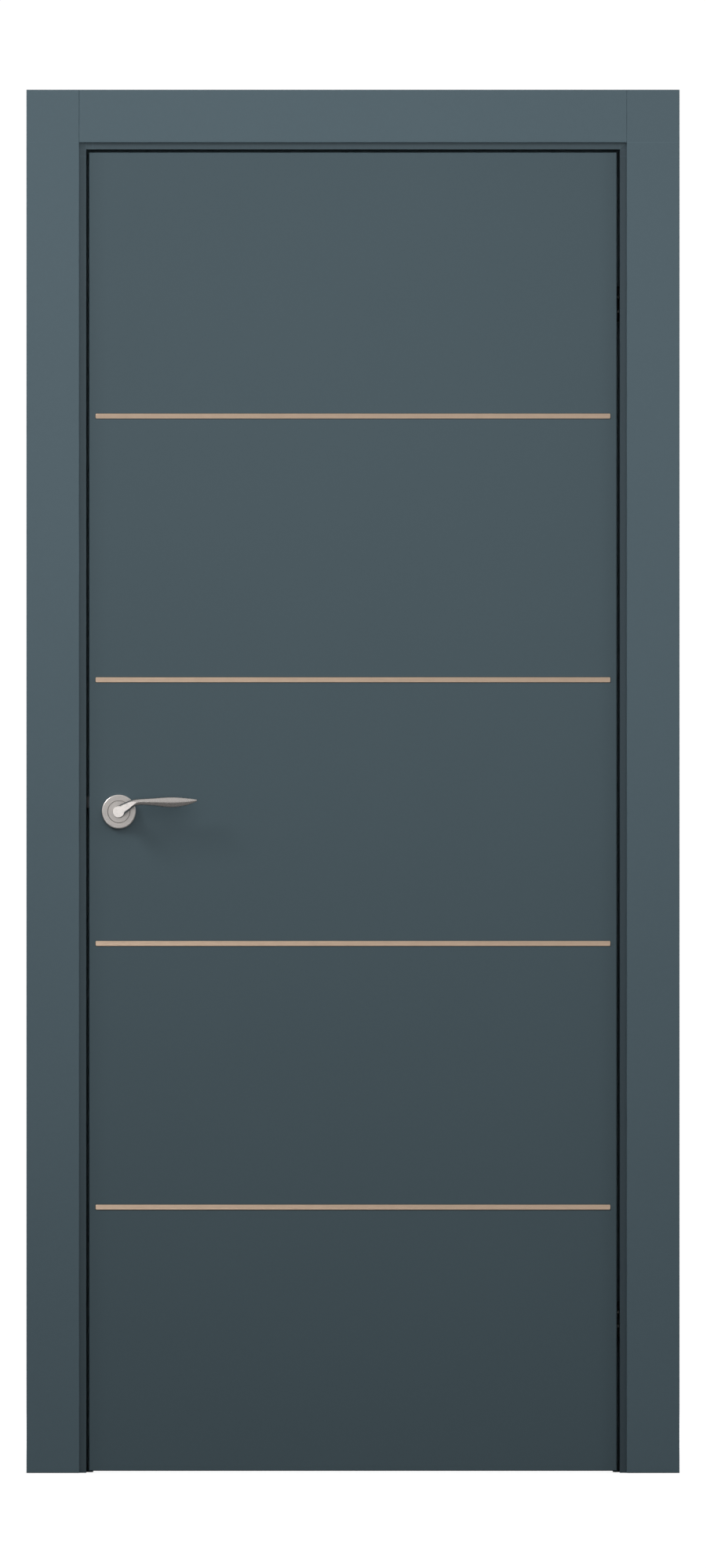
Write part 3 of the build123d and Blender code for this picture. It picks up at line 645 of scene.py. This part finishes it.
def rose():
    """Round cover with a rounded rim, a turned groove and a hole for the neck."""
    radius, height, hole = 26.0 * mm, 9.0 * mm, 8.9 * mm
    groove_out, groove_in, groove_depth = 17.2 * mm, 16.4 * mm, 0.6 * mm
    rim, lip, flat = 1.8 * mm, 0.5 * mm, 0.15 * mm
    groove_side = 0.42 * (groove_out - groove_in)
    circles = (
        radius,
        radius - rim - flat,
        groove_out + flat,
        groove_out,
        groove_in,
        groove_in - flat,
        hole + lip + flat,
        hole,
    )
    cover = begin(
        bpy.ops.mesh.primitive_circle_add,
        vertices=128,
        radius=radius,
        fill_type="NGON",
        location=(spindle_x, 0.0, spindle_z),
        rotation=(math.pi / 2, 0.0, 0.0),
    )

    def on_face(part, inner, outer):
        """True for a part of the front face whose middle lies between two circles."""
        spot = middle(cover, part)
        away = math.hypot(spot.x - spindle_x, spot.z - spindle_z)
        return spot.y < -height * 0.99 and inner < away < outer

    edit_all()
    for outer, inner in zip(circles, circles[1:]):
        bpy.ops.mesh.inset(thickness=outer - inner)
    bpy.ops.mesh.delete(type="FACE")
    bpy.ops.mesh.select_all(action="SELECT")
    push(0.0, -height, 0.0)
    pick(cover, "FACE", lambda face: on_face(face, groove_in, groove_out))
    bpy.ops.mesh.inset(thickness=groove_side, depth=-groove_depth)
    pick(cover, "EDGE", lambda edge: on_face(edge, radius * 0.998, radius * 1.002))
    bpy.ops.mesh.bevel(offset=rim, segments=8)
    pick(cover, "EDGE", lambda edge: on_face(edge, 0.0, hole * 1.002))
    bpy.ops.mesh.bevel(offset=lip, segments=3)
    return close_up(cover)


def screw(head, shank, length):
    """Countersunk screw with a recess of six lobes, its head up at the origin."""
    lobes, points_per_lobe = 6, 6
    cone, point_spread = head - shank, 0.3
    recess, recess_depth, recess_taper = 0.52 * head, 0.45 * head, 0.8
    dip, dip_cosine = 0.76, -0.1
    skin = 0.01 * mm
    made = begin(
        bpy.ops.mesh.primitive_circle_add,
        vertices=lobes * points_per_lobe,
        radius=head,
        fill_type="NGON",
    )

    def on_top(face):
        return middle(made, face).z > -skin

    def in_the_middle(face):
        spot = middle(made, face)
        return on_top(face) and math.hypot(spot.x, spot.y) < skin

    def between_lobes(corner):
        x, y, z = corner.co
        on_recess = z > -skin and math.hypot(x, y) < recess * 1.02
        return on_recess and math.cos(lobes * math.atan2(y, x)) < dip_cosine

    edit_all()
    level = 0.0
    for drop, spread in ((cone, shank / head), (length - 2 * cone, 1.0), (cone, point_spread)):
        level -= drop
        push(0.0, 0.0, -drop)
        bpy.ops.transform.resize(value=(spread, spread, 1.0), center_override=(0.0, 0.0, level))
    pick(made, "FACE", on_top)
    bpy.ops.mesh.inset(thickness=head - recess)
    pick(made, "VERT", between_lobes)
    bpy.ops.transform.resize(value=(dip, dip, 1.0), center_override=(0.0, 0.0, 0.0))
    pick(made, "FACE", in_the_middle)
    push(0.0, 0.0, -recess_depth)
    bpy.ops.transform.resize(
        value=(recess_taper, recess_taper, 1.0), center_override=(0.0, 0.0, -recess_depth)
    )
    return close_up(made)


def screw_set(side, places, **sizes):
    """Screws along X, with their points towards the hinges where side is 1, as one piece."""
    first = screw(**sizes)
    made = [first] + [copy_of(first) for place in places[1:]]
    for piece, place in zip(made, places):
        alone(piece)
        piece.rotation_euler = (0.0, -side * math.pi / 2, 0.0)
        piece.location = place
        settle()
    return join(made)


def bolt():
    """Latch bolt with its slanted nose and softened edges, and the tail that the follower pulls."""
    tip, back, tail_end = -411.0 * mm, -385.0 * mm, -348.2 * mm
    front, rear, nose, edge_radius = 16.0 * mm, 28.0 * mm, 1.5 * mm, 0.6 * mm
    low, high, slant = 1008.0 * mm, 1026.0 * mm, (-10.5, 11.0, 0.0)
    tail_front, tail_rear = 20.0 * mm, 24.0 * mm
    tail_low, tail_high = 1020.0 * mm, high - edge_radius
    lug_low, lug_length, overlap = 1012.0 * mm, 4.0 * mm, 1.0 * mm
    body = slab((tip, front, low), (back, rear, high))
    edit_all()
    bpy.ops.mesh.bisect(
        plane_co=(tip, front + nose, low),
        plane_no=slant,
        use_fill=True,
        clear_outer=True,
    )
    bpy.ops.mesh.select_all(action="SELECT")
    bpy.ops.mesh.bevel(offset=edge_radius, segments=3)
    bpy.ops.object.mode_set(mode="OBJECT")
    tail = slab((back - overlap, tail_front, tail_low), (tail_end, tail_rear, tail_high))
    lug = slab(
        (tail_end - lug_length, tail_front, lug_low),
        (tail_end, tail_rear, tail_low + overlap),
    )
    return close_up(join([body, tail, lug]))


hinge_screws = {"head": 4.5 * mm, "shank": 2.25 * mm, "length": 24.0 * mm}
latch_screws = {"head": 3.5 * mm, "shank": 1.75 * mm, "length": 18.0 * mm}
hinge_middles, hinge_reaches = (233.0, 1773.0), (-48.0, 48.0)
hinge_levels = [(hinge + reach) * mm for hinge in hinge_middles for reach in hinge_reaches]
strike_levels, faceplate_levels = (0.989, 1.045), (0.970, 1.048)
for name, side, face, levels, sizes, body, node in (
    ("frame_hinge_screws", 1, jamb_side, hinge_levels, hinge_screws, "frame", "hinge_frame_screws"),
    ("leaf_hinge_screws", -1, leaf_side, hinge_levels, hinge_screws, "leaf", "hinge_leaf_screws"),
    ("strike_plate_screws", -1, -jamb_side, strike_levels, latch_screws, "frame", "strike_screws"),
    ("faceplate_screws", 1, -leaf_side, faceplate_levels, latch_screws, "leaf", "latch_screws"),
):
    made = screw_set(side, [(face, leaf_middle, level) for level in levels], **sizes)
    dress(made, name, finishes["screw_steel"], body, node)

dress(bolt(), "latch_tongue", bolt_shaded_finish, "latch_bolt", "latch_bolt")

lever_finish = finishes["handle_nickel"]
front_lever = lever()
back_lever = other_side(front_lever)
dress(front_lever, "lever_front", lever_finish, "handle", "front_lever")
dress(back_lever, "lever_back", lever_finish, "handle", "back_lever")

front_rose = rose()
back_rose = other_side(front_rose)
dress(front_rose, "rose_front", rose_finish, "leaf", "front_rose_cover")
dress(back_rose, "rose_back", rose_finish, "leaf", "back_rose_cover")


# Studio
def floor():
    """Pale floor that looks white but lights the door no more than a pale floor would."""
    deselect()
    bpy.ops.mesh.primitive_plane_add(size=14.0, location=(0.0, 0.0, -0.5 * mm))
    ground = bpy.context.object
    ground.name = "studio_floor"
    made, pale = material("pale_floor")
    camera_ray, glossy_ray, through_ray = [
        pale.node("ShaderNodeLightPath", output=f"Is {kind} Ray")
        for kind in ("Camera", "Glossy", "Transmission")
    ]
    seen = camera_ray.most(glossy_ray).most(through_ray)
    _, x, y, _ = pale.place()
    far = pale.ramp((x * x).most(y * y), 0.6, 3.0)
    open_floor = pale.mix(far, grey(0.84), grey(1.0))
    glow = pale.mix(camera_ray, grey(0.08), open_floor)
    pale.finish(
        {
            "Base Color": pale.mix(camera_ray, grey(0.12), grey(0.35)),
            "Roughness": 0.9,
            "Specular IOR Level": 0.1,
            "Emission Color": pale.mix(seen, grey(0.0), glow),
            "Emission Strength": 1.0,
        }
    )
    ground.data.materials.append(made)


def lamp(name, place, aim, size, watts, mirrored=False):
    """Round soft lamp; one that is not mirrored doesn't show in the metal."""
    data = bpy.data.lights.new(name, "AREA")
    data.shape = "DISK"
    data.size = size
    data.energy = watts
    made = bpy.data.objects.new(name, data)
    made.location = place
    made.rotation_euler = (Vector(aim) - Vector(place)).to_track_quat("-Z", "Y").to_euler()
    made.visible_glossy = mirrored
    bpy.context.scene.collection.objects.link(made)


def sky():
    """White behind the door, a soft room in the metal, dim light on the door."""
    world = bpy.data.worlds.new("studio")
    bpy.context.scene.world = world
    air = Shader(world)
    camera_ray, glossy_ray, through_ray = [
        air.node("ShaderNodeLightPath", output=f"Is {kind} Ray")
        for kind in ("Camera", "Glossy", "Transmission")
    ]
    seen = camera_ray.most(glossy_ray).most(through_ray)
    direction = air.node("ShaderNodeTexCoord")
    up = air.node("ShaderNodeSeparateXYZ", sockets={0: direction}, output="Z")
    mirrored = air.mix(air.ramp(up, -0.25, 0.08), grey(0.06), grey(0.64))
    backdrop = air.mix(camera_ray, mirrored, grey(1.03))
    colour = air.mix(seen, (0.11, 0.112, 0.115), backdrop)
    light = air.node("ShaderNodeBackground", sockets={"Color": colour})
    air.node("ShaderNodeOutputWorld", sockets={"Surface": light})


def camera():
    """Long lens straight in front of the door, as in the photograph."""
    lens, sensor = 600.0, 36.0
    view_height, aim_level, aim_depth = 2.378, 1.045, -0.01
    data = bpy.data.cameras.new("camera")
    data.lens = lens
    data.sensor_fit = "VERTICAL"
    data.sensor_height = sensor
    data.clip_end = 200.0
    made = bpy.data.objects.new("camera", data)
    made.location = (0.0, aim_depth - lens / sensor * view_height, aim_level)
    made.rotation_euler = (math.pi / 2, 0.0, 0.0)
    bpy.context.scene.collection.objects.link(made)
    bpy.context.scene.camera = made


floor()
sky()
lamp("key", (-2.5, -1.8, 3.0), (0.0, 0.0, 1.1), size=1.2, watts=44.0, mirrored=True)
lamp("front", (0.1, -2.4, 2.05), (0.0, 0.0, 1.5), size=2.6, watts=50.0)
lamp("side", (3.2, -0.6, 1.8), (0.4, -0.4, 1.0), size=1.8, watts=30.0)
lamp("glint", (-0.84, -3.2, 0.73), (-0.35, 0.0, 1.0), size=0.5, watts=2.1, mirrored=True)
lamp("back", (0.6, 3.2, 2.4), (0.0, 0.1, 1.4), size=2.2, watts=110.0)
camera()
bpy.context.scene.view_settings.view_transform = "Standard"
